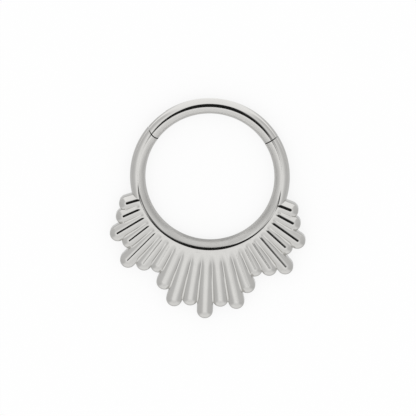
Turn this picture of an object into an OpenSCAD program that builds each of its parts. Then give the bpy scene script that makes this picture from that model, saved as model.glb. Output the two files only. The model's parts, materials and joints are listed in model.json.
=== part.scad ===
// Clicker ring: a hinged piercing ring with a sunburst fan along its lower edge.
// Millimetres. The ring lies on its back with its front upwards: Z is the ring's axis,
// Y runs towards the hinged segment at the top and X to the right.
// The origin is under the middle of the outline, on the surface that the ring lies on.

/* [Ring] */
// Diameter of the wire, 16 gauge
wire_diameter = 1.2; // [1.15:0.05:1.3]
// Inner diameter of the ring
inner_diameter = 10; // [9.5:0.5:11]

/* [Hinged segment] */
// Angle from the top of the ring to the hinge seam, on the left
hinge_seam_angle = 54.7; // [50:0.1:58]
// Angle from the top of the ring to the clasp seam, on the right
clasp_seam_angle = 56; // [50:0.5:58]
// Width of the gap in both seams
seam_gap = 0.07; // [0.04:0.01:0.07]
// Radius of the segment's rounded end, centred on the hinge pin
knuckle_radius = 1.22; // [1.15:0.01:1.3]
// How far the segment swings open
opening_angle = 110; // [60:5:110]

/* [Hinge] */
// Diameter of the hinge pin
pin_diameter = 0.34; // [0.3:0.02:0.36]
// Distance of the pin inside the middle line of the wire
pin_inset = 0.15; // [0.1:0.01:0.2]
// Thickness of the tongue that the pin passes through
tongue_thickness = 0.34; // [0.3:0.02:0.4]
// Height of the middle of the tongue above the back of the ring
tongue_height = 0.52; // [0.5:0.01:0.6]

/* [Sunburst fan] */
// Number of rays on each side of the middle one
side_rays = 10; // [6:1:10]
// Angle between neighbouring rays
ray_pitch = 7.05; // [6.5:0.05:7.1]
// Width of a ray
ray_width = 1.25; // [1.15:0.05:1.35]
// Radius of the rounded ridge along a ray
ridge_radius = 0.55; // [0.25:0.05:0.6]
// Slope of a ray's flanks
flank_slope = 36; // [30:1:40]
// Radius of the rounding between a ray's flank and its side
rim_radius = 0.3; // [0.2:0.05:0.35]
// Height of the fan's flat back above the back of the wire
fan_back = 0.05; // [0.04:0.01:0.1]
// Height of the crests above the front of the wire
crest_rise = 0.05; // [0.04:0.01:0.1]
// Distance of the point that the rays spread from below the middle of the ring
fan_drop = 0.15; // [0:0.05:0.3]

/* [Hidden] */

$fn = 96;

// How far each ray reaches past the wire's outer radius, counted from the point that the rays
// spread from: the middle ray first, then the others on either side
ray_lengths = [4.9, 4.0, 4.35, 3.35, 2.35, 2.85, 3.5, 2.35, 2.8, 1.75, 1.15];

wire_radius = wire_diameter / 2;
ring_radius = inner_diameter / 2 + wire_radius;
outer_radius = ring_radius + wire_radius;
ring_y = (max(ray_lengths) + fan_drop) / 2;

// Margins of the shapes that cut or overlap others: past a surface, along the wire in
// degrees, and for the boxes round the hinge pin
past = 1;
past_seam = 7;
past_pin = 4;
overlap = 0.2;

// Running clearances of the hinge and of the catch
pin_slip = 0.01;
tongue_slip = 0.02;
catch_slip = 0.03;

// The pin stands where the knuckle's arc meets the middle of the wire at the hinge seam
pin_radius = pin_diameter / 2;
pin_ring_radius = ring_radius - pin_inset;
pin_to_seam = acos((pow(pin_ring_radius, 2) + pow(ring_radius, 2) - pow(knuckle_radius, 2))
    / (2 * pin_ring_radius * ring_radius));
pin_angle = hinge_seam_angle - pin_to_seam;
pin_x = -pin_ring_radius * sin(pin_angle);
pin_y = pin_ring_radius * cos(pin_angle);
front_skin = 0.22;
pin_top = wire_diameter - front_skin;
pin_end_sink = 0.01;

// Tongue of the fixed arc: an eye round the pin and a neck that reaches it
tongue_low = tongue_height - tongue_thickness / 2;
tongue_high = tongue_height + tongue_thickness / 2;
eye_wall = 0.17;
eye_radius = pin_radius + tongue_slip + eye_wall;
neck_half_width = 0.3;
neck_in_arc = 2;
eye_gap = 0.04;
slot_extra_angle = 4;
slot_reach = 2.2;

// Catch: a nub on the free end of the segment, in a channel that follows its swing
nub_radius = 0.28;
nub_x = ring_radius * sin(clasp_seam_angle);
nub_y = ring_radius * cos(clasp_seam_angle);
nub_swing_radius = norm([nub_x - pin_x, nub_y - pin_y]);
nub_direction = atan2(nub_y - pin_y, nub_x - pin_x);
channel_back = asin((nub_radius + catch_slip) / nub_swing_radius);
channel_sweep = 12;
half_gap_angle = asin(seam_gap / 2 / ring_radius);

// Cross section of a ray: a rounded ridge, a straight flank and a rounded rim
crest_height = wire_diameter + crest_rise;
arc_steps = 3;
ridge_end = ridge_radius * sin(flank_slope);
rim_start = ray_width / 2 - rim_radius * (1 - sin(flank_slope));
flank_drop = ridge_radius * (1 - cos(flank_slope)) + (rim_start - ridge_end) * tan(flank_slope);
rim_centre_x = ray_width / 2 - rim_radius;
rim_centre_z = crest_height - flank_drop - rim_radius * cos(flank_slope);

// Plate that joins the roots of the rays: level just under the ridges, then sloping down.
// It ends a little short of the middles of the last rays
root_step = 0.05;
fan_root_radius = ring_radius + root_step;
plate_sink = 0.02;
plate_top = crest_height - plate_sink;
plate_short_angle = 0.5;
plate_half_angle = side_rays * ray_pitch - plate_short_angle;
plate_start_radius = ring_radius - fan_drop;
plate_level_inset = 0.25;
plate_level_radius = outer_radius - plate_level_inset;
plate_reach = 0.7;
plate_end_radius = outer_radius + plate_reach;
plate_drop = 0.28;

// Half of a ray's section, from its middle to its side
function half_section() = concat(
    [[0, fan_back], [ray_width / 2, fan_back]],
    [for (i = [arc_steps:-1:0])
        let (slope = flank_slope + (90 - flank_slope) * i / arc_steps)
        [rim_centre_x + rim_radius * sin(slope), rim_centre_z + rim_radius * cos(slope)]],
    [for (i = [arc_steps:-1:0])
        let (slope = flank_slope * i / arc_steps)
        [ridge_radius * sin(slope), crest_height - ridge_radius * (1 - cos(slope))]]
);

// Puts the middle of the ring in its place over the origin
module placed() {
    translate([0, ring_y, 0]) children();
}

// Frame of the hinge pin: X away from the hinge seam along the wire, Y outwards
module at_pin() {
    rotate([0, 0, pin_angle]) translate([0, pin_ring_radius, 0]) children();
}

// Round wire bent from one angle to another, both counted to the left from the top
module wire_arc(from, to, radius = wire_radius) {
    rotate([0, 0, 90 + from]) rotate_extrude(angle = to - from)
        translate([ring_radius, wire_radius]) circle(r = radius);
}

// Upright round bar on the hinge axis
module pin_bar(radius, low, high) {
    at_pin() translate([0, 0, low]) cylinder(r = radius, h = high - low);
}

// One straight ray with a domed tip, in its own frame: Y outwards, its crest on top
module ray(length) {
    tip_centre = outer_radius + length - ray_width / 2;
    translate([0, tip_centre, 0]) {
        rotate([90, 0, 0]) linear_extrude(tip_centre - fan_root_radius + overlap + fan_drop) {
            polygon(half_section());
            mirror([1, 0]) polygon(half_section());
        }
        rotate_extrude(angle = 180) polygon(half_section());
    }
}

// Plate between the roots of the rays
module root_plate() {
    rotate([0, 0, 270 - plate_half_angle]) rotate_extrude(angle = 2 * plate_half_angle)
        polygon([
            [plate_start_radius, fan_back],
            [plate_end_radius, fan_back],
            [plate_end_radius, crest_height - plate_drop],
            [plate_level_radius, plate_top],
            [plate_start_radius, plate_top]
        ]);
}

module fan() {
    difference() {
        translate([0, -fan_drop, 0]) {
            for (i = [-side_rays:side_rays])
                rotate([0, 0, 180 + i * ray_pitch]) ray(ray_lengths[abs(i)]);
            root_plate();
        }
        translate([0, 0, -past]) cylinder(r = fan_root_radius, h = crest_height + 2 * past);
    }
}

// Eye and neck that the segment's fork turns on, flush with the inside of the ring
module tongue() {
    difference() {
        union() {
            pin_bar(eye_radius, tongue_low, tongue_high);
            intersection() {
                wire_arc(pin_angle, hinge_seam_angle + neck_in_arc);
                at_pin() translate([-past_pin, -past_pin, tongue_low])
                    cube([past_pin, past_pin + neck_half_width, tongue_thickness]);
            }
        }
        pin_bar(pin_radius + tongue_slip, 0, wire_diameter);
    }
}

// Space that the tongue needs in the segment, from shut to wide open
module tongue_slot() {
    last = 180 - opening_angle - slot_extra_angle;
    middle = (180 + last) / 2;
    low = tongue_low - tongue_slip;
    thick = tongue_thickness + 2 * tongue_slip;
    pin_bar(eye_radius + eye_gap, low, low + thick);
    at_pin() translate([0, 0, low]) {
        translate([-past_pin, -past_pin, 0]) cube([past_pin + eye_gap, 2 * past_pin, thick]);
        linear_extrude(thick) polygon([
            [0, 0],
            slot_reach * [cos(last), sin(last)],
            slot_reach * [cos(middle), sin(middle)],
            [-slot_reach, 0]
        ]);
        rotate([0, 0, last]) translate([0, -neck_half_width - eye_gap, 0])
            cube([slot_reach, 2 * neck_half_width, thick]);
    }
}

// All that lies past the segment's rounded end, on the side of the fixed arc
module beyond_knuckle() {
    difference() {
        at_pin() translate([-past_pin, -past_pin, -past])
            cube([past_pin, 2 * past_pin, wire_diameter + 2 * past]);
        pin_bar(knuckle_radius, -2 * past, wire_diameter + 2 * past);
    }
}

// Nub that clicks into the fixed arc
module nub() {
    translate([nub_x, nub_y, tongue_low]) cylinder(r = nub_radius, h = tongue_thickness);
}

// Channel that the nub leaves along its own swing
module nub_channel() {
    translate([pin_x, pin_y, tongue_low - tongue_slip])
        rotate([0, 0, nub_direction - channel_back])
        rotate_extrude(angle = channel_sweep)
        translate([nub_swing_radius - nub_radius - catch_slip, 0])
        square([2 * (nub_radius + catch_slip), tongue_thickness + 2 * tongue_slip]);
}

// Fixed arc of wire, cast in one with the fan
module ring_body() {
    color("silver") placed() {
        difference() {
            union() {
                wire_arc(hinge_seam_angle - past_seam, 360 - clasp_seam_angle - half_gap_angle);
                fan();
            }
            pin_bar(knuckle_radius + seam_gap, -past, wire_diameter + past);
            nub_channel();
        }
        tongue();
    }
}

// Upper arc, a fork at the hinge end and a nub at the clasp end
module hinged_segment() {
    color("lightgray") placed() {
        difference() {
            wire_arc(half_gap_angle - clasp_seam_angle, hinge_seam_angle + past_seam);
            beyond_knuckle();
            tongue_slot();
            pin_bar(pin_radius + pin_slip, -past, pin_top + pin_slip);
        }
        nub();
    }
}

// Pin set from the back, with its end ground flush with the wire
module hinge_pin() {
    color("gray") placed() intersection() {
        pin_bar(pin_radius, -past, pin_top);
        wire_arc(pin_angle - past_seam, pin_angle + past_seam, wire_radius - pin_end_sink);
    }
}

ring_body();
hinged_segment();
hinge_pin();
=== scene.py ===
import json
import math

import bmesh
import bpy
from mathutils import Matrix, Vector


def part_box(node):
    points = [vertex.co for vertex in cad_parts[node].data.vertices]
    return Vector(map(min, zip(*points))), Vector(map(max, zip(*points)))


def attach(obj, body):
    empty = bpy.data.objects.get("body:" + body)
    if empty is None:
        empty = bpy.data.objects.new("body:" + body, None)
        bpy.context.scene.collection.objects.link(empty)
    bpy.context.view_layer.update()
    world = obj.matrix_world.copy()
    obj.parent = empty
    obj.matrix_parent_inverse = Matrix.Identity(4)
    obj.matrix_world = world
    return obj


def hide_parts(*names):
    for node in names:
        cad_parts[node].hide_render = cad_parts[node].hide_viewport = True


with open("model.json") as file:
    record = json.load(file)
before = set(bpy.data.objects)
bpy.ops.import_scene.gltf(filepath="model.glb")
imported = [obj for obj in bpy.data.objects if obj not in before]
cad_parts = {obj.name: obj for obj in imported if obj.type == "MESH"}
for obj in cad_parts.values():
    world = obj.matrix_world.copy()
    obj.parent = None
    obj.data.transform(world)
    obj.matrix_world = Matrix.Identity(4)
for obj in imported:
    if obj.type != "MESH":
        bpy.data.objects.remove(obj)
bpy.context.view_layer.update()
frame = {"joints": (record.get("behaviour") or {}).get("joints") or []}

# Pieces are modelled in millimetres round the ring's own centre, with Z along its axis,
# and are moved and scaled into the frame when they are finished.
MM = 0.001
# Corners closer than this are merged
MERGE_DISTANCE = 0.0005
# Edges that bend by more than this many degrees are shaded sharp
SHARP_ANGLE = 32
# How far cutting tools stand out past the front and the back of the wire
PAST_WIRE = 1

# Ring, as the construction has it
WIRE = 1.2
INNER_DIAMETER = 10.0
WIRE_RADIUS = WIRE / 2
RING_RADIUS = INNER_DIAMETER / 2 + WIRE_RADIUS
OUTER_RADIUS = RING_RADIUS + WIRE_RADIUS
RING_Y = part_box("hinged_segment")[1][1] / MM - OUTER_RADIUS

# The front half of the wire's section is a curve from its crest to each side, drawn by a pull
# at either end. Where the fan is cast on, both pulls are shorter on the inner side
CREST_PULL = 0.335
CREST_PULL_LESS = 0.05
SIDE_PULL = 0.33
SIDE_PULL_LESS = 0.07
# Degrees from the fan's middle where the cast section starts to fade, and where it has gone
CAST_FULL = 64
CAST_GONE = 84

# Seams, counted in degrees from the top of the ring
HINGE_SEAM = 54.7
CLASP_SEAM = 56.0
SEAM_GAP = 0.07
HALF_GAP_ANGLE = math.degrees(SEAM_GAP / 2 / RING_RADIUS)
KNUCKLE_RADIUS = 1.22
# How far either arc goes on past the hinge's seam before the knuckle is cut, in degrees
ARC_PAST_SEAM = 7.0

# Hinge pin, tongue and catch
HINGE = frame["joints"][0]
PIN_X = HINGE["pos_m"][0] / MM
PIN_Y = HINGE["pos_m"][1] / MM - RING_Y
PIN_ANGLE = math.degrees(math.atan2(-PIN_X, PIN_Y))
SWING = HINGE["range_deg"][1]
PIN_RADIUS = 0.17
PIN_TOP = 0.98
BORE_SLIP = 0.01
TONGUE_LOW = 0.35
TONGUE_HIGH = 0.69
TONGUE_SLIP = 0.02
EYE_RADIUS = 0.36
EYE_GAP = 0.04
NECK_HALF_WIDTH = 0.3
NUB_X = RING_RADIUS * math.sin(math.radians(CLASP_SEAM))
NUB_Y = RING_RADIUS * math.cos(math.radians(CLASP_SEAM))
NUB_RADIUS = 0.28
CATCH_SLIP = 0.03

# Sunburst fan
RAY_PITCH = 7.05
RAY_WIDTH = 1.25
RAY_RIDGE = 0.55
RAY_RIM = 0.3
FLANK_SLOPE = math.radians(36)
FAN_BACK = 0.05
FAN_FRONT = 1.25
RIDGE_RADIUS = RING_RADIUS + 0.13
# The rays spread from a point below the ring's middle. They start inside the wire and are
# trimmed just outside its crest
FAN_DROP = 0.15
FAN_ROOT = RIDGE_RADIUS - 0.45
FAN_TRIM = RIDGE_RADIUS + 0.005
# How far each ray reaches past the wire's outer radius, counted from the point that the
# rays spread from, the middle ray first
RAY_LENGTHS = (4.9, 4.0, 4.35, 3.35, 2.35, 2.85, 3.5, 2.35, 2.8, 1.75, 1.15)
SIDE_RAYS = len(RAY_LENGTHS) - 1
# Where a ray's ridge passes into its flank, and the flank into the rounded rim
RIDGE_END = RAY_RIDGE * math.sin(FLANK_SLOPE)
RIDGE_LOW = FAN_FRONT - RAY_RIDGE * (1 - math.cos(FLANK_SLOPE))
RIM_START = RAY_WIDTH / 2 - RAY_RIM * (1 - math.sin(FLANK_SLOPE))
RIM_HIGH = RIDGE_LOW - (RIM_START - RIDGE_END) * math.tan(FLANK_SLOPE)
RIM_Z = RIM_HIGH - RAY_RIM * math.cos(FLANK_SLOPE)
BACK_EDGE = 0.08
GROOVE_HALF_WIDTH = 0.055
# The rays rise out of a level plate, sooner at the sides of the fan than in its middle. The
# middle ends and the sides start at these degrees from the fan's middle
PLATE_END = 5.8
RISE_AT_SIDE = 0.25
RISE_IN_MIDDLE = 1.2
MIDDLE_ENDS = 10
SIDE_STARTS = 34

# Colours of bare steel
STEEL = (0.62, 0.613, 0.594)
GROUND_STEEL = (0.56, 0.553, 0.537)
# How much darker painted shade makes the seams, the valleys, the faces cut inside the wire and the
# inside of the lower arc, and a painted dark reflection the crease by the fan
SEAM_GREY = 0.88
VALLEY_GREY = 0.5
CREASE_GREY = 0.72
SLOT_SHADE_GREY = 0.6
LOWER_INSIDE_GREY = 0.22

# Brightness of the studio by the angle from the lens, in degrees, in each direction. The dark
# patch round the lens ends sooner below on the right than straight below and on the left
LEFT_LIGHT = ((0, 0.012), (21.2, 0.015), (23.4, 1.0), (27, 1.08), (38, 1.03), (45, 0.88),
              (54, 0.76), (90, 0.66))
RIGHT_LIGHT = ((0, 0.012), (16, 0.02), (20, 0.2), (24, 0.62), (29, 0.86), (37, 0.98),
               (46, 0.84), (56, 0.74), (90, 0.64))
OVERHEAD_LIGHT = ((0, 0.012), (24, 0.015), (26.8, 0.8), (33, 1.16), (90, 1.22), (120, 1.2))
BELOW_RIGHT_LIGHT = ((0, 0.012), (17.8, 0.015), (19.6, 1.03), (26, 1.12), (45, 0.98),
                     (70, 0.92), (95, 1.0))
BELOW_LEFT_LIGHT = ((0, 0.012), (21.6, 0.015), (23.4, 1.05), (26, 1.12), (45, 0.98),
                    (70, 0.92), (95, 1.0))
# Light of the studio wherever the metal doesn't mirror it
TENT_LIGHT = 1.15


def deselect_all():
    """Leaves edit mode and selects nothing."""
    if bpy.context.object and bpy.context.object.mode != "OBJECT":
        bpy.ops.object.mode_set(mode="OBJECT")
    bpy.ops.object.select_all(action="DESELECT")


def pick(*objects):
    """Selects these objects alone, the first of them active."""
    deselect_all()
    for obj in objects:
        obj.select_set(True)
    bpy.context.view_layer.objects.active = objects[0]


def named(name):
    """Names the object that was just added."""
    obj = bpy.context.object
    obj.name = name
    obj.data.name = name
    return obj


def apply_place(obj):
    """Moves the object's place, turn and size into its mesh."""
    pick(obj)
    bpy.ops.object.transform_apply(location=True, rotation=True, scale=True)


def apply_modifier(obj, kind, **settings):
    """Adds a modifier with these settings and applies it at once."""
    pick(obj)
    modifier = obj.modifiers.new(kind.lower(), kind)
    for key, value in settings.items():
        setattr(modifier, key, value)
    bpy.ops.object.modifier_apply(modifier=modifier.name)


def edit_all(obj):
    """Goes into edit mode with the whole mesh selected."""
    pick(obj)
    bpy.ops.object.mode_set(mode="EDIT")
    bpy.ops.mesh.select_all(action="SELECT")


def select_faces(obj, wanted):
    """Goes into edit mode with the faces selected for which wanted(face) holds."""
    pick(obj)
    bpy.ops.object.mode_set(mode="EDIT")
    bpy.ops.mesh.select_mode(type="FACE")
    bpy.ops.mesh.select_all(action="DESELECT")
    mesh = bmesh.from_edit_mesh(obj.data)
    for face in mesh.faces:
        face.select_set(wanted(face))
    bmesh.update_edit_mesh(obj.data)


def cut(obj, tool, operation="DIFFERENCE"):
    """Cuts the tool out of the object, or joins it on, and throws the tool away."""
    apply_modifier(obj, "BOOLEAN", object=tool, operation=operation, solver="MANIFOLD")
    bpy.data.objects.remove(tool)


def recalculate_normals(obj):
    """Merges corners that meet and turns all faces outwards."""
    edit_all(obj)
    bpy.ops.mesh.remove_doubles(threshold=MERGE_DISTANCE)
    bpy.ops.mesh.normals_make_consistent(inside=False)
    bpy.ops.object.mode_set(mode="OBJECT")


def smooth_share(value, low, high):
    """0 at low, 1 at high, with a smooth passage between them."""
    share = min(max((value - low) / (high - low), 0), 1)
    return share * share * (3 - 2 * share)


def curve_point(start, start_pull, end_pull, end, t):
    """Point of a cubic curve between two ends and their pulls."""
    s = 1 - t
    parts = (s ** 3, 3 * s * s * t, 3 * s * t * t, t ** 3)
    points = (start, start_pull, end_pull, end)
    return tuple(sum(part * point[i] for part, point in zip(parts, points)) for i in (0, 1))


def wire_section(turn, cast):
    """Offset outwards and height above the wire's middle, at a turn from the front crest.

    turn runs from -180 to 180 degrees, positive outwards. cast goes from 0, plain wire,
    to 1, the wire where the fan is cast on: its crest is higher and further out.
    """
    if abs(turn) > 90:
        angle = math.radians(turn)
        return WIRE_RADIUS * math.sin(angle), WIRE_RADIUS * math.cos(angle)
    side = 1 if turn > 0 else -1
    crest_x = (RIDGE_RADIUS - RING_RADIUS) * cast
    crest_z = WIRE_RADIUS + (FAN_FRONT - WIRE) * cast
    crest_pull = CREST_PULL if side > 0 else CREST_PULL - CREST_PULL_LESS * cast
    side_pull = SIDE_PULL if side > 0 else SIDE_PULL - SIDE_PULL_LESS * cast
    return curve_point(
        (crest_x, crest_z),
        (crest_x + side * crest_pull, crest_z),
        (side * WIRE_RADIUS, side_pull),
        (side * WIRE_RADIUS, 0),
        abs(turn) / 90,
    )


def cast_share(angle_from_bottom):
    """How far the wire has the cast section at this angle from the fan's middle."""
    return smooth_share(abs(angle_from_bottom), CAST_GONE, CAST_FULL)


def bend_wire(name, start, end, sides=96, step=1.0):
    """Wire bent round the ring's axis from one angle to another, counted left from the top."""
    bpy.ops.mesh.primitive_circle_add(vertices=sides, radius=WIRE_RADIUS, fill_type="NGON")
    wire = named(name)
    for i, vertex in enumerate(wire.data.vertices):
        angle = math.radians(360 * i / sides)
        vertex.co = (0, RING_RADIUS + WIRE_RADIUS * math.sin(angle), WIRE_RADIUS * math.cos(angle))
    wire.rotation_euler.z = math.radians(start)
    apply_place(wire)
    edit_all(wire)
    bpy.ops.mesh.spin(
        steps=max(2, round((end - start) / step)),
        angle=math.radians(start - end),
        center=(0, 0, 0),
        axis=(0, 0, 1),
        use_auto_merge=False,
    )
    bpy.ops.object.mode_set(mode="OBJECT")
    recalculate_normals(wire)
    for vertex in wire.data.vertices:
        x, y, z = vertex.co
        reach = math.hypot(x, y)
        turn = math.degrees(math.atan2(reach - RING_RADIUS, z))
        share = cast_share(math.degrees(math.atan2(x, -y)))
        out, height = wire_section(turn, share)
        scale = (RING_RADIUS + out) / reach
        vertex.co = (x * scale, y * scale, WIRE_RADIUS + height)
    return wire


def round_bar(name, radius, low, high, x=PIN_X, y=PIN_Y, sides=96):
    """Upright round bar, on the hinge axis unless told otherwise."""
    bpy.ops.mesh.primitive_cylinder_add(
        vertices=sides, radius=radius, depth=high - low, location=(x, y, (low + high) / 2)
    )
    bar = named(name)
    apply_place(bar)
    return bar


def block(name, low, high, turn=0.0, x=0.0, y=0.0):
    """Box between two corners, turned about Z and then moved."""
    size = [b - a for a, b in zip(low, high)]
    middle = [(a + b) / 2 for a, b in zip(low, high)]
    bpy.ops.mesh.primitive_cube_add(size=1, location=middle, scale=size)
    box = named(name)
    apply_place(box)
    box.rotation_euler.z = math.radians(turn)
    box.location = (x, y, 0)
    apply_place(box)
    return box


def arc_points(middle, radius, start, end, steps):
    """Points of an arc in X and Z, its directions counted from straight up."""
    angles = [start + (end - start) * i / steps for i in range(steps + 1)]
    return [(middle[0] + radius * math.sin(a), middle[1] + radius * math.cos(a)) for a in angles]


def is_section(face):
    """Whether a face is one of the two halves of the ray's section, on the tip's flat side."""
    flat = 0.001
    return len(face.verts) > 4 and all(abs(vertex.co.y) < flat for vertex in face.verts)


def make_ray(name):
    """The middle ray: half its section spun round the tip, then drawn out to the root."""
    arc_steps = 8
    edge_steps = 4
    tip_steps = 40
    rise_rows = 14
    ridge = arc_points((0, FAN_FRONT - RAY_RIDGE), RAY_RIDGE, 0, FLANK_SLOPE, arc_steps)
    rim = arc_points((RAY_WIDTH / 2 - RAY_RIM, RIM_Z), RAY_RIM, FLANK_SLOPE, math.pi / 2,
                     arc_steps)
    edge = arc_points((RAY_WIDTH / 2 - BACK_EDGE, FAN_BACK + BACK_EDGE), BACK_EDGE,
                      math.pi / 2, math.pi, edge_steps)
    section = [(0, FAN_BACK), *ridge, *rim, *edge]
    bpy.ops.mesh.primitive_circle_add(vertices=len(section), fill_type="NGON")
    ray = named(name)
    for vertex, (x, z) in zip(ray.data.vertices, section):
        vertex.co = (x, 0, z)
    edit_all(ray)
    bpy.ops.mesh.spin(steps=tip_steps, angle=math.pi, center=(0, 0, 0), axis=(0, 0, 1))
    bpy.ops.object.mode_set(mode="OBJECT")
    recalculate_normals(ray)
    select_faces(ray, is_section)
    tip_centre = OUTER_RADIUS + RAY_LENGTHS[0] - RAY_WIDTH / 2
    rows = [PLATE_END + RISE_IN_MIDDLE * (1 - i / rise_rows) for i in range(rise_rows + 1)]
    reach = tip_centre
    for row in (*rows, FAN_ROOT):
        bpy.ops.mesh.extrude_region_move(TRANSFORM_OT_translate={"value": (0, reach - row, 0)})
        reach = row
    bpy.ops.object.mode_set(mode="OBJECT")
    ray.location.y = -tip_centre
    apply_place(ray)
    recalculate_normals(ray)
    return ray


def ray_height(out):
    """Height of a ray's surface at this distance from the middle of the ray."""
    if out < RIDGE_END:
        return FAN_FRONT - RAY_RIDGE + math.sqrt(RAY_RIDGE ** 2 - out ** 2)
    if out < RIM_START:
        return RIDGE_LOW - (out - RIDGE_END) * math.tan(FLANK_SLOPE)
    into_rim = min(out - (RAY_WIDTH / 2 - RAY_RIM), RAY_RIM)
    return RIM_Z + math.sqrt(RAY_RIM ** 2 - into_rim ** 2)


def risen(x, y):
    """How far the rays have risen out of the plate here, from 0 to 1."""
    aside = abs(math.degrees(math.atan2(x, -y)))
    at_side = smooth_share(aside, MIDDLE_ENDS, SIDE_STARTS)
    rise = RISE_IN_MIDDLE + (RISE_AT_SIDE - RISE_IN_MIDDLE) * at_side
    return smooth_share(math.hypot(x, y), PLATE_END, PLATE_END + rise)


def level_with_plate(obj):
    """Lets the front of a ray or floor run out into the plate, up to the last rays' middles."""
    for vertex in obj.data.vertices:
        x, y, z = vertex.co
        aside = abs(math.degrees(math.atan2(x, -y)))
        if z > RIM_Z and aside < SIDE_RAYS * RAY_PITCH:
            vertex.co.z = FAN_FRONT - (FAN_FRONT - z) * risen(x, y)


def copy_ray(ray, place):
    """Copy of the middle ray at its own place in the fan, shortened at its tip."""
    copy = ray.copy()
    copy.data = ray.data.copy()
    copy.name = f"ray_{place}"
    bpy.context.collection.objects.link(copy)
    shorter = RAY_LENGTHS[0] - RAY_LENGTHS[abs(place)]
    tip_centre = OUTER_RADIUS + RAY_LENGTHS[abs(place)] - RAY_WIDTH / 2
    # The tip moves as it is. Rows of the straight part that a short ray's tip would pass are
    # drawn back to it
    outermost_row = PLATE_END + RISE_IN_MIDDLE
    slack = 0.01
    for vertex in copy.data.vertices:
        if vertex.co.y < -outermost_row - slack:
            vertex.co.y += shorter
        elif vertex.co.y < -tip_centre:
            vertex.co.y = -tip_centre
    copy.rotation_euler.z = math.radians(place * RAY_PITCH)
    apply_place(copy)
    recalculate_normals(copy)
    level_with_plate(copy)
    return copy


def floor_tip(place):
    """Tip centre of the shorter of a ray and the next one to the right."""
    shorter = min(RAY_LENGTHS[abs(place)], RAY_LENGTHS[abs(place + 1)])
    return OUTER_RADIUS + shorter - RAY_WIDTH / 2


def floor_height(reach, place):
    """Height of the floor between a ray and the next, this far from the ring's middle."""
    half_pitch = math.radians(RAY_PITCH / 2)
    beside = reach * math.sin(half_pitch)
    past_tip = max(reach * math.cos(half_pitch) - floor_tip(place), 0)
    return ray_height(math.hypot(beside, past_tip) - GROOVE_HALF_WIDTH)


def make_floor_bar(place):
    """Floor between a ray and the next one to the right."""
    past_tip = 0.3
    into_rays = 0.03
    thickness = 0.5
    rows = 40
    end = floor_tip(place) + past_tip
    half = GROOVE_HALF_WIDTH + into_rays
    bpy.ops.mesh.primitive_grid_add(x_subdivisions=1, y_subdivisions=rows, size=1)
    bar = named(f"floor_{place}")
    for vertex in bar.data.vertices:
        share = 0.5 - vertex.co.y
        reach = FAN_ROOT + (end - FAN_ROOT) * share
        vertex.co = (math.copysign(half, vertex.co.x), -reach, floor_height(reach, place))
    edit_all(bar)
    bpy.ops.mesh.extrude_region_move(TRANSFORM_OT_translate={"value": (0, 0, -thickness)})
    bpy.ops.object.mode_set(mode="OBJECT")
    recalculate_normals(bar)
    bar.rotation_euler.z = math.radians((place + 0.5) * RAY_PITCH)
    apply_place(bar)
    level_with_plate(bar)
    return bar


def make_tongue():
    """Neck and eye that reach into the segment's fork."""
    into_arc = 2
    beyond = 3
    neck = bend_wire("tongue", PIN_ANGLE, HINGE_SEAM + into_arc, sides=64)
    window = block("tongue_window", (-beyond, -beyond, TONGUE_LOW),
                   (0, NECK_HALF_WIDTH, TONGUE_HIGH), PIN_ANGLE, PIN_X, PIN_Y)
    cut(neck, window, "INTERSECT")
    cut(neck, round_bar("eye", EYE_RADIUS, TONGUE_LOW, TONGUE_HIGH), "UNION")
    cut(neck, round_bar("eye_bore", PIN_RADIUS + TONGUE_SLIP, 0, WIRE, sides=48))
    return neck


def ring_slice(name, inner, outer, low, high, start, end):
    """Slice of a flat ring round the hinge axis, from one direction to another."""
    bpy.ops.mesh.primitive_plane_add(size=1)
    piece = named(name)
    for vertex in piece.data.vertices:
        reach = outer if vertex.co.x > 0 else inner
        height = high if vertex.co.y > 0 else low
        vertex.co = (reach, 0, height)
    piece.rotation_euler.z = math.radians(start)
    apply_place(piece)
    edit_all(piece)
    bpy.ops.mesh.spin(
        steps=24, angle=math.radians(start - end), center=(0, 0, 0), axis=(0, 0, 1)
    )
    bpy.ops.object.mode_set(mode="OBJECT")
    piece.location = (PIN_X, PIN_Y, 0)
    apply_place(piece)
    recalculate_normals(piece)
    return piece


def nub_channel():
    """Channel in the fixed arc that lets the nub out along its swing."""
    way_out = 10
    reach = math.hypot(NUB_X - PIN_X, NUB_Y - PIN_Y)
    direction = math.degrees(math.atan2(NUB_Y - PIN_Y, NUB_X - PIN_X))
    half = NUB_RADIUS + CATCH_SLIP
    back = math.degrees(math.asin(half / reach))
    return ring_slice("nub_channel", reach - half, reach + half,
                      TONGUE_LOW - TONGUE_SLIP, TONGUE_HIGH + TONGUE_SLIP,
                      direction - back, direction + way_out)


def make_fan():
    """All the rays and the floors between them, in one casting."""
    ray = make_ray("ray")
    fan = copy_ray(ray, 0)
    for place in range(1, SIDE_RAYS + 1):
        cut(fan, copy_ray(ray, place), "UNION")
        cut(fan, copy_ray(ray, -place), "UNION")
    bpy.data.objects.remove(ray)
    for place in range(-SIDE_RAYS, SIDE_RAYS):
        cut(fan, make_floor_bar(place), "UNION")
    fan.location.y = -FAN_DROP
    apply_place(fan)
    cut(fan, round_bar("fan_trim", FAN_TRIM, -PAST_WIRE, WIRE + PAST_WIRE, 0, 0, sides=720))
    return fan


def make_ring_body():
    """Fixed arc joined with the fan, then cut for the hinge and the catch."""
    body = bend_wire("ring_body_polished", HINGE_SEAM - ARC_PAST_SEAM,
                     360 - CLASP_SEAM - HALF_GAP_ANGLE)
    cut(body, make_fan(), "UNION")
    seat = round_bar("knuckle_seat", KNUCKLE_RADIUS + SEAM_GAP, -PAST_WIRE, WIRE + PAST_WIRE,
                     sides=192)
    cut(body, seat)
    cut(body, nub_channel())
    cut(body, make_tongue(), "UNION")
    return body


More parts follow.
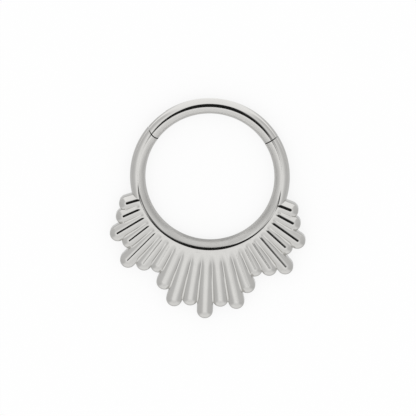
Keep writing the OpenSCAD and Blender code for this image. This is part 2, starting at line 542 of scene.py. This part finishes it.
def tongue_slot():
    """Space that the tongue needs in the segment, from shut to wide open."""
    low, high = TONGUE_LOW - TONGUE_SLIP, TONGUE_HIGH + TONGUE_SLIP
    shut = 175
    spare = 4
    wide_open = 180 - SWING - spare
    core = 0.05
    reach = 2.2
    beyond = 4
    slot = block("slot_end", (-beyond, -beyond, low), (EYE_GAP, beyond, high),
                 PIN_ANGLE, PIN_X, PIN_Y)
    cut(slot, round_bar("slot_eye", EYE_RADIUS + EYE_GAP, low, high), "UNION")
    sector = ring_slice("slot_sector", core, reach, low, high,
                        PIN_ANGLE + wide_open, PIN_ANGLE + shut)
    cut(slot, sector, "UNION")
    lead = block("slot_lead", (0, -NECK_HALF_WIDTH - EYE_GAP, low), (reach, NECK_HALF_WIDTH, high),
                 PIN_ANGLE + wide_open, PIN_X, PIN_Y)
    cut(slot, lead, "UNION")
    return slot


def make_segment():
    """Hinged arc: a fork rounded about the pin at one end, a nub at the other."""
    beyond = 4
    arc = bend_wire("hinged_segment_polished", HALF_GAP_ANGLE - CLASP_SEAM,
                    HINGE_SEAM + ARC_PAST_SEAM, sides=128, step=0.75)
    past_pin = block("past_pin", (-beyond, -beyond, -PAST_WIRE), (0, beyond, WIRE + PAST_WIRE),
                     PIN_ANGLE, PIN_X, PIN_Y)
    knuckle = round_bar("knuckle", KNUCKLE_RADIUS, -2 * PAST_WIRE, WIRE + 2 * PAST_WIRE, sides=192)
    cut(past_pin, knuckle)
    cut(arc, past_pin)
    cut(arc, tongue_slot())
    bore = round_bar("pin_bore", PIN_RADIUS + BORE_SLIP, -PAST_WIRE, PIN_TOP + BORE_SLIP, sides=48)
    cut(arc, bore)
    cut(arc, round_bar("nub", NUB_RADIUS, TONGUE_LOW, TONGUE_HIGH, NUB_X, NUB_Y, sides=48), "UNION")
    return arc


def make_pin():
    """Hinge pin whose back end is ground to the wire's curve."""
    left_to_grind = 0.2
    aside = 6
    pin = round_bar("hinge_pin_ground", PIN_RADIUS, -left_to_grind, PIN_TOP, sides=64)
    cut(pin, bend_wire("pin_end", PIN_ANGLE - aside, PIN_ANGLE + aside, sides=128), "INTERSECT")
    return pin


def settle(obj):
    """Moves a finished piece into the frame, in metres, and shades it."""
    recalculate_normals(obj)
    obj.scale = (MM, MM, MM)
    obj.location = (0, RING_Y * MM, 0)
    apply_place(obj)
    pick(obj)
    bpy.ops.object.shade_smooth_by_angle(angle=math.radians(SHARP_ANGLE))
    apply_modifier(obj, "WEIGHTED_NORMAL", keep_sharp=True)
    deselect_all()


def add_node(tree, kind, **settings):
    """New node with these settings."""
    node = tree.nodes.new(kind)
    for key, value in settings.items():
        setattr(node, key, value)
    return node


def math_node(tree, operation, *values):
    """Math node whose inputs are numbers or other nodes' outputs."""
    node = add_node(tree, "ShaderNodeMath", operation=operation)
    for socket, value in zip(node.inputs, values):
        if isinstance(value, (int, float)):
            socket.default_value = value
        else:
            tree.links.new(value, socket)
    return node.outputs[0]


def length_node(tree, across, along):
    """Distance that two lengths at right angles make."""
    squares = [math_node(tree, "MULTIPLY", side, side) for side in (across, along)]
    return math_node(tree, "SQRT", math_node(tree, "ADD", *squares))


def range_node(tree, value, low, high, to_low=0.0, to_high=1.0):
    """Smooth passage from one value to another while the input goes from low to high."""
    node = add_node(tree, "ShaderNodeMapRange", interpolation_type="SMOOTHSTEP")
    tree.links.new(value, node.inputs["Value"])
    node.inputs["From Min"].default_value = low
    node.inputs["From Max"].default_value = high
    node.inputs["To Min"].default_value = to_low
    node.inputs["To Max"].default_value = to_high
    return node.outputs["Result"]


def noise_node(tree, vector, scale, detail, squeeze=None):
    """Noise from 0 to 1 whose grains are 1/scale across, squeezed along each axis if asked."""
    if squeeze:
        mapping = add_node(tree, "ShaderNodeMapping")
        mapping.inputs["Scale"].default_value = squeeze
        tree.links.new(vector, mapping.inputs["Vector"])
        vector = mapping.outputs["Vector"]
    node = add_node(tree, "ShaderNodeTexNoise")
    node.inputs["Scale"].default_value = scale
    node.inputs["Detail"].default_value = detail
    tree.links.new(vector, node.inputs["Vector"])
    return node.outputs["Fac"]


def light_node(tree, off_lens, stops):
    """Brightness that follows the stops, each an angle from the lens in degrees and a level."""
    node = add_node(tree, "ShaderNodeValToRGB")
    elements = node.color_ramp.elements
    while len(elements) < len(stops):
        elements.new(0.5)
    for element, (angle, level) in zip(elements, stops):
        element.position = angle / 180
        element.color = (level, level, level, 1)
    tree.links.new(off_lens, node.inputs["Fac"])
    return node.outputs["Color"]


def mix_node(tree, share, first, second):
    """Plain mix of two colours or levels."""
    node = add_node(tree, "ShaderNodeMix", data_type="RGBA")
    tree.links.new(share, node.inputs["Factor"])
    # The inputs and the output for colours share their names with others, so they go by number
    for socket, value in ((node.inputs[6], first), (node.inputs[7], second)):
        if isinstance(value, tuple):
            socket.default_value = value
        else:
            tree.links.new(value, socket)
    return node.outputs[2]


def polishing_marks():
    """Shared effect: cloudy buffing and fine hairlines left by the polishing wheel."""
    # Grains are about a millimetre across, and the hairlines run along X and along Y
    cloud_scale = 1100
    hair_scale = 900
    hair_squeeze = (1, 14, 5)
    crossing_squeeze = (12, 2, 7)
    clouds_from, clouds_to = 0.3, 0.7
    hair_from, hair_to = 0.62, 0.72
    crossing_from, crossing_to = 0.64, 0.74
    darkest, lightest = 0.985, 1.015
    smoothest, roughest = 0.85, 1.2
    darker_mark = 0.03
    rougher_mark = 0.04
    group = bpy.data.node_groups.new("polishing_marks", "ShaderNodeTree")
    for name, way, kind in (
        ("Vector", "INPUT", "NodeSocketVector"),
        ("Roughness", "INPUT", "NodeSocketFloat"),
        ("Hairlines", "INPUT", "NodeSocketFloat"),
        ("Tone", "OUTPUT", "NodeSocketFloat"),
        ("Roughness", "OUTPUT", "NodeSocketFloat"),
        ("Height", "OUTPUT", "NodeSocketFloat"),
    ):
        group.interface.new_socket(name, in_out=way, socket_type=kind)
    inside = add_node(group, "NodeGroupInput")
    out = add_node(group, "NodeGroupOutput")
    vector = inside.outputs["Vector"]
    clouds = noise_node(group, vector, cloud_scale, detail=3)
    hair = noise_node(group, vector, hair_scale, detail=2, squeeze=hair_squeeze)
    crossing = noise_node(group, vector, hair_scale, detail=2, squeeze=crossing_squeeze)
    lines = math_node(group, "ADD", range_node(group, hair, hair_from, hair_to),
                      range_node(group, crossing, crossing_from, crossing_to))
    marks = math_node(group, "MULTIPLY", lines, inside.outputs["Hairlines"])
    tone = math_node(group, "SUBTRACT",
                     range_node(group, clouds, clouds_from, clouds_to, darkest, lightest),
                     math_node(group, "MULTIPLY", marks, darker_mark))
    rough = math_node(group, "MULTIPLY", inside.outputs["Roughness"],
                      range_node(group, clouds, clouds_from, clouds_to, smoothest, roughest))
    rough = math_node(group, "ADD", rough, math_node(group, "MULTIPLY", marks, rougher_mark))
    group.links.new(tone, out.inputs["Tone"])
    group.links.new(rough, out.inputs["Roughness"])
    group.links.new(math_node(group, "MULTIPLY", marks, -1), out.inputs["Height"])
    return group


def place_marks(tree, marks, coordinates, hairlines):
    """Puts the shared marks into a material, with this strength of hairlines."""
    node = add_node(tree, "ShaderNodeGroup", node_tree=marks)
    node.inputs["Hairlines"].default_value = hairlines
    tree.links.new(coordinates, node.inputs["Vector"])
    return node


def seam_shade(tree, x, y, reach):
    """1 on the walls of both seams: painted shade inside the gaps, less towards the outside."""
    wall = SEAM_GAP / 2 * MM
    margin = 0.012 * MM
    fade_start = 5.6 * MM
    fade_end = 5.95 * MM
    outside = 0.35
    pin_x = math_node(tree, "SUBTRACT", x, PIN_X * MM)
    pin_y = math_node(tree, "SUBTRACT", y, PIN_Y * MM)
    from_pin = length_node(tree, pin_x, pin_y)
    middle = (KNUCKLE_RADIUS + SEAM_GAP / 2) * MM
    off_hinge = math_node(tree, "ABSOLUTE", math_node(tree, "SUBTRACT", from_pin, middle))
    lean = math.radians(PIN_ANGLE)
    past_pin = math_node(tree, "ADD", math_node(tree, "MULTIPLY", pin_x, -math.cos(lean)),
                         math_node(tree, "MULTIPLY", pin_y, -math.sin(lean)))
    turn = math.radians(CLASP_SEAM)
    along = math_node(tree, "SUBTRACT", math_node(tree, "MULTIPLY", x, math.cos(turn)),
                      math_node(tree, "MULTIPLY", y, math.sin(turn)))
    off_clasp = math_node(tree, "ABSOLUTE", along)
    on_hinge = range_node(tree, off_hinge, wall + margin / 2, wall + margin, 1, 0)
    on_clasp = range_node(tree, off_clasp, wall + margin / 2, wall + margin, 1, 0)
    on_hinge = math_node(tree, "MULTIPLY", on_hinge, math_node(tree, "GREATER_THAN", past_pin, 0.0))
    mask = math_node(tree, "MAXIMUM", on_hinge, on_clasp)
    mask = math_node(tree, "MULTIPLY", mask, math_node(tree, "GREATER_THAN", y, 0.0))
    fade = range_node(tree, reach, fade_start, fade_end, 1, outside)
    return math_node(tree, "MULTIPLY", mask, fade)


def valley_shade(tree, x, y, reach):
    """1 along a thin line in each valley of the fan, to one side of its floor: painted shade on the
    groove's steep flank.
    """
    line_offset = 0.045 * MM
    line_full = 0.012 * MM
    line_end = 0.035 * MM
    plate_end, ray_start = 6.4 * MM, 7.0 * MM
    fade_start, fade_end = 7.6 * MM, 8.4 * MM
    # The rays at the sides are shorter, so their valleys end sooner
    side_start, side_full = math.radians(45), math.radians(60)
    sooner_at_side = 1.2 * MM
    back = math_node(tree, "MULTIPLY", math_node(tree, "ADD", y, FAN_DROP * MM), -1.0)
    angle = math_node(tree, "ARCTAN2", x, back)
    pitch = math.radians(RAY_PITCH)
    turns = math_node(tree, "SUBTRACT", math_node(tree, "DIVIDE", angle, pitch), 0.5)
    past_valley = math_node(tree, "SUBTRACT", turns, math_node(tree, "ROUND", turns))
    arc = math_node(tree, "MULTIPLY", math_node(tree, "MULTIPLY", past_valley, pitch), reach)
    off_line = math_node(tree, "ABSOLUTE", math_node(tree, "ADD", arc, line_offset))
    line = range_node(tree, off_line, line_full, line_end, 1, 0)
    aside = math_node(tree, "ABSOLUTE", angle)
    in_fan = math_node(tree, "LESS_THAN", aside, SIDE_RAYS * pitch)
    past_plate = range_node(tree, reach, plate_end, ray_start, 0, 1)
    sooner = range_node(tree, aside, side_start, side_full, 0, sooner_at_side)
    before_tip = range_node(tree, math_node(tree, "ADD", reach, sooner), fade_start, fade_end, 1, 0)
    along_ray = math_node(tree, "MULTIPLY", past_plate, before_tip)
    in_valley = math_node(tree, "MULTIPLY", in_fan, along_ray)
    return math_node(tree, "MULTIPLY", line, in_valley)


def crease_dark_reflection(tree, x, y, reach):
    """1 on a painted dark reflection line between the wire and the outer rays' roots, less on the
    right.
    """
    crease = 5.59 * MM
    line_full = 0.02 * MM
    line_end = 0.07 * MM
    rays_start, rays_full = math.radians(38), math.radians(50)
    rays_fade, rays_end = math.radians(72), math.radians(80)
    left, right = -2 * MM, 2 * MM
    share_on_right = 0.4
    off_crease = math_node(tree, "ABSOLUTE", math_node(tree, "SUBTRACT", reach, crease))
    line = range_node(tree, off_crease, line_full, line_end, 1, 0)
    angle = math_node(tree, "ARCTAN2", x, math_node(tree, "MULTIPLY", y, -1.0))
    aside = math_node(tree, "ABSOLUTE", angle)
    from_middle = range_node(tree, aside, rays_start, rays_full, 0, 1)
    before_end = range_node(tree, aside, rays_fade, rays_end, 1, 0)
    share = range_node(tree, x, left, right, 1, share_on_right)
    beside_rays = math_node(tree, "MULTIPLY", from_middle, before_end)
    shared_line = math_node(tree, "MULTIPLY", line, share)
    return math_node(tree, "MULTIPLY", shared_line, beside_rays)


def shade_inside_wire(tree, height, reach):
    """1 on the faces cut for the hinge and the catch, which lie inside the wire: painted shade in
    the slots.
    """
    full_depth = 0.5 * MM
    least_depth = 0.56 * MM
    outwards = math_node(tree, "SUBTRACT", reach, RING_RADIUS * MM)
    upwards = math_node(tree, "SUBTRACT", height, WIRE_RADIUS * MM)
    from_middle = length_node(tree, outwards, upwards)
    return range_node(tree, from_middle, full_depth, least_depth, 1, 0)


def lower_inside_shade(tree, y, reach):
    """1 inside the lower arc, behind the fan: painted shade that makes its inner face darker."""
    full_inside, outside = 5.46 * MM, 5.57 * MM
    full_low, side = -4.9 * MM, -4.0 * MM
    inside = range_node(tree, reach, full_inside, outside, 1, 0)
    low = range_node(tree, y, full_low, side, 1, 0)
    return math_node(tree, "MULTIPLY", inside, low)


def new_material(name):
    """New material and its nodes."""
    material = bpy.data.materials.new(name)
    material.use_nodes = True
    return material, material.node_tree


def finish_steel(tree, marks_node, colour, bump_depth, grey=None):
    """Joins the marks to the metal: its tone, roughness and relief."""
    bump_strength = 0.3
    links = tree.links
    shader = tree.nodes["Principled BSDF"]
    shader.inputs["Metallic"].default_value = 1
    tinted = add_node(tree, "ShaderNodeVectorMath", operation="SCALE")
    tinted.inputs[0].default_value = colour
    tone = marks_node.outputs["Tone"]
    # grey darkens the tone where shade is painted
    if grey:
        tone = math_node(tree, "MULTIPLY", tone, math_node(tree, "SUBTRACT", 1.0, grey))
    links.new(tone, tinted.inputs["Scale"])
    links.new(tinted.outputs[0], shader.inputs["Base Color"])
    links.new(marks_node.outputs["Roughness"], shader.inputs["Roughness"])
    bump = add_node(tree, "ShaderNodeBump")
    bump.inputs["Strength"].default_value = bump_strength
    bump.inputs["Distance"].default_value = bump_depth
    links.new(marks_node.outputs["Height"], bump.inputs["Height"])
    links.new(bump.outputs["Normal"], shader.inputs["Normal"])


def polished_steel(marks):
    """Mirror polish, satin inside the ring where the wheel doesn't reach."""
    satin, mirror = 0.32, 0.07
    satin_end = (RING_RADIUS - 0.02) * MM
    satin_full = (RING_RADIUS - 0.2) * MM
    hairlines = 0.5
    bump_depth = 0.002 * MM
    material, tree = new_material("polished_steel")
    coordinates = add_node(tree, "ShaderNodeTexCoord").outputs["Object"]
    centred = add_node(tree, "ShaderNodeVectorMath", operation="SUBTRACT")
    centred.inputs[1].default_value = (0, RING_Y * MM, 0)
    tree.links.new(coordinates, centred.inputs[0])
    split = add_node(tree, "ShaderNodeSeparateXYZ")
    tree.links.new(centred.outputs[0], split.inputs[0])
    x, y, height = split.outputs
    reach = length_node(tree, x, y)
    roughness = range_node(tree, reach, satin_full, satin_end, satin, mirror)
    node = place_marks(tree, marks, coordinates, hairlines)
    tree.links.new(roughness, node.inputs["Roughness"])
    # Painted shade in the seams, valleys, cut faces and inside the lower arc, and a painted dark
    # reflection along the crease, darken the colour
    on_front = math_node(tree, "GREATER_THAN", height, WIRE_RADIUS * MM)
    crease = math_node(tree, "MULTIPLY", crease_dark_reflection(tree, x, y, reach), on_front)
    grey = math_node(tree, "MULTIPLY", seam_shade(tree, x, y, reach), SEAM_GREY)
    for place, share in (
        (lower_inside_shade(tree, y, reach), LOWER_INSIDE_GREY),
        (valley_shade(tree, x, y, reach), VALLEY_GREY),
        (shade_inside_wire(tree, height, reach), SLOT_SHADE_GREY),
        (crease, CREASE_GREY),
    ):
        grey = math_node(tree, "MAXIMUM", grey, math_node(tree, "MULTIPLY", place, share))
    finish_steel(tree, node, STEEL, bump_depth, grey)
    return material


def ground_steel(marks):
    """Pin whose flush end is ground, not polished."""
    ground = 0.24
    hairlines = 1.0
    bump_depth = 0.006 * MM
    material, tree = new_material("ground_steel")
    coordinates = add_node(tree, "ShaderNodeTexCoord").outputs["Object"]
    node = place_marks(tree, marks, coordinates, hairlines)
    node.inputs["Roughness"].default_value = ground
    finish_steel(tree, node, GROUND_STEEL, bump_depth)
    return material


def place_camera():
    """Camera whose turn, distance and scale put the ring where the photograph has it."""
    elevation, azimuth, roll = math.radians(12.4), math.radians(1.2), math.radians(2.15)
    distance = 0.6
    pixels_per_mm = 12.9
    picture = 416
    ring_pixel_x, ring_pixel_y = 209.9, 176.45
    sensor_width = 36
    data = bpy.data.cameras.new("camera")
    camera = bpy.data.objects.new("camera", data)
    bpy.context.collection.objects.link(camera)
    towards = Vector((
        math.sin(azimuth) * math.cos(elevation),
        math.sin(elevation),
        math.cos(azimuth) * math.cos(elevation),
    ))
    # The picture's upward direction is the ring's, rolled so that the ring leans as it should
    level = Vector((0, 1, 0)).cross(towards).normalized()
    upright = towards.cross(level)
    side = level * math.cos(roll) + upright * math.sin(roll)
    up = towards.cross(side)
    camera.rotation_euler = Matrix((side, up, towards)).transposed().to_euler()
    ring_middle = Vector((0, RING_Y, WIRE_RADIUS)) * MM
    off_x, off_y = ring_pixel_x - picture / 2, picture / 2 - ring_pixel_y
    target = ring_middle - (side * off_x + up * off_y) / pixels_per_mm * MM
    camera.location = target + towards * distance
    data.lens_unit = "MILLIMETERS"
    data.sensor_width = sensor_width
    data.lens = sensor_width * distance / (picture / pixels_per_mm * MM)
    data.clip_start = 0.01
    data.clip_end = 10
    bpy.context.scene.camera = camera
    return side, up, towards


def make_floor():
    """White light table, which the metal mirrors grey below the ring's top and bright above it."""
    own_light = 0.81
    scattered = 0.16
    mirrored_grey, mirrored_bright = 0.72, 1.22
    grey_until, bright_from = (RING_Y + 5.0) * MM, (RING_Y + 6.7) * MM
    bpy.ops.mesh.primitive_plane_add(size=2)
    floor = named("floor")
    material, tree = new_material("floor_white")
    shader = tree.nodes["Principled BSDF"]
    shader.inputs["Base Color"].default_value = (scattered, scattered, scattered, 1)
    shader.inputs["Roughness"].default_value = 1
    shader.inputs["Specular IOR Level"].default_value = 0
    shader.inputs["Emission Color"].default_value = (1, 1, 1, 1)
    shader.inputs["Emission Strength"].default_value = own_light
    place = add_node(tree, "ShaderNodeSeparateXYZ")
    tree.links.new(add_node(tree, "ShaderNodeTexCoord").outputs["Object"], place.inputs[0])
    glow = add_node(tree, "ShaderNodeEmission")
    mirrored = range_node(tree, place.outputs["Y"], grey_until, bright_from,
                          mirrored_grey, mirrored_bright)
    tree.links.new(mirrored, glow.inputs["Color"])
    path = add_node(tree, "ShaderNodeLightPath")
    mix = add_node(tree, "ShaderNodeMixShader")
    tree.links.new(path.outputs["Is Glossy Ray"], mix.inputs[0])
    tree.links.new(shader.outputs[0], mix.inputs[1])
    tree.links.new(glow.outputs[0], mix.inputs[2])
    tree.links.new(mix.outputs[0], tree.nodes["Material Output"].inputs["Surface"])
    floor.data.materials.append(material)


def make_studio(side, up, towards):
    """White tent round the ring: dark round the lens, brightest overhead, greyer at the sides."""
    # Where one direction's light passes into another's, by how far right or up it is, -1 to 1
    to_right = (0.1, 0.6)
    to_overhead = (0.6, 0.85)
    to_below = (-0.5, -0.9)
    to_below_left = (-0.1, -0.4)
    to_straight_below = (-0.92, -0.98)
    # Keeps the root above zero straight at the lens
    just_over_one = 1.0001
    world = bpy.data.worlds.new("studio")
    bpy.context.scene.world = world
    world.use_nodes = True
    tree = world.node_tree
    background = tree.nodes["Background"]
    direction = add_node(tree, "ShaderNodeTexCoord").outputs["Generated"]
    shares = []
    for axis in (side, up, towards):
        dot = add_node(tree, "ShaderNodeVectorMath", operation="DOT_PRODUCT")
        tree.links.new(direction, dot.inputs[0])
        dot.inputs[1].default_value = axis
        shares.append(dot.outputs["Value"])
    aside, above, ahead = shares
    off_lens = math_node(tree, "DIVIDE", math_node(tree, "ARCCOSINE", ahead), math.pi)
    squared = math_node(tree, "MULTIPLY", ahead, ahead)
    off_axis = math_node(tree, "SQRT", math_node(tree, "SUBTRACT", just_over_one, squared))
    upness = math_node(tree, "DIVIDE", above, off_axis)
    rightness = math_node(tree, "DIVIDE", aside, off_axis)
    left = light_node(tree, off_lens, LEFT_LIGHT)
    right = light_node(tree, off_lens, RIGHT_LIGHT)
    overhead = light_node(tree, off_lens, OVERHEAD_LIGHT)
    below_right = light_node(tree, off_lens, BELOW_RIGHT_LIGHT)
    below_left = light_node(tree, off_lens, BELOW_LEFT_LIGHT)
    below = mix_node(tree, range_node(tree, rightness, *to_below_left), below_right, below_left)
    level = mix_node(tree, range_node(tree, rightness, *to_right), left, right)
    level = mix_node(tree, range_node(tree, upness, *to_overhead), level, overhead)
    level = mix_node(tree, range_node(tree, upness, *to_below), level, below)
    level = mix_node(tree, range_node(tree, upness, *to_straight_below), level, below_left)
    path = add_node(tree, "ShaderNodeLightPath")
    seen = (TENT_LIGHT, TENT_LIGHT, TENT_LIGHT, 1)
    level = mix_node(tree, path.outputs["Is Glossy Ray"], seen, level)
    tree.links.new(level, background.inputs["Color"])


ring_body = make_ring_body()
segment = make_segment()
pin = make_pin()
marks = polishing_marks()
mirror_steel = polished_steel(marks)
pin_steel = ground_steel(marks)
for piece, node, body, steel, slot in (
    (ring_body, "ring_body", "fixed_arc", mirror_steel, "polished_steel"),
    (segment, "hinged_segment", "swinging_arc", mirror_steel, "polished_steel"),
    (pin, "hinge_pin", "swinging_arc", pin_steel, "ground_steel"),
):
    settle(piece)
    piece.data.materials.clear()
    piece.data.materials.append(steel)
    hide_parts(node)
    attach(piece, body)

side, up, towards = place_camera()
make_floor()
make_studio(side, up, towards)
bpy.context.scene.view_settings.view_transform = "Standard"
